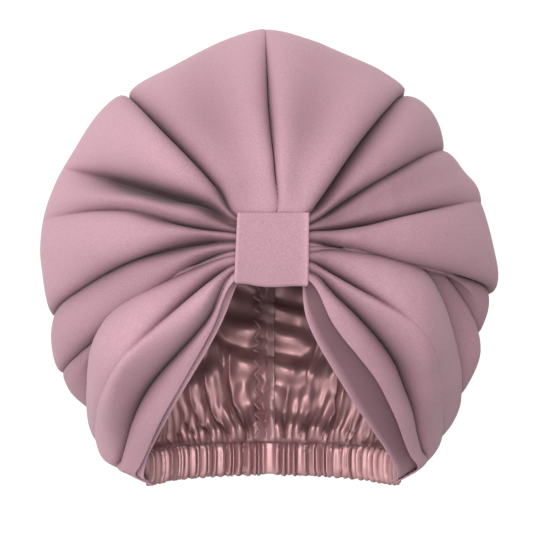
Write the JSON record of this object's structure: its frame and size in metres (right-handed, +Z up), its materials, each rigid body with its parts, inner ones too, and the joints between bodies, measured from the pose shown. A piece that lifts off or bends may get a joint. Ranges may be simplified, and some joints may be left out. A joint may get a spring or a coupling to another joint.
{
  "type": "silk hair turban",
  "caption": "Puffed satin head wrap with deep folds fanning out from a narrow front band, a faced face opening, a satin lining and a gathered elastic nape.",
  "frame": {"origin": "centre of the head hollow, level with the lower edge of the front band", "axes": "+Z up, the face opening and the front band look along -Y, +X to the right in the front view"},
  "size_m": [0.2787, 0.228, 0.276],
  "materials": {
    "outer_satin": "matte side of a mauve silk satin",
    "lining_satin": "glossy side of a mauve silk satin"
  },
  "bodies": {
    "root": {"crown_left": "outer_satin", "crown_right": "outer_satin", "front_band": "outer_satin", "facing_left": "outer_satin", "facing_right": "outer_satin", "lining_left": "lining_satin", "lining_right": "lining_satin", "back_seam_tape": "lining_satin", "elastic_hem": "lining_satin"}
  },
  "joints": []
}
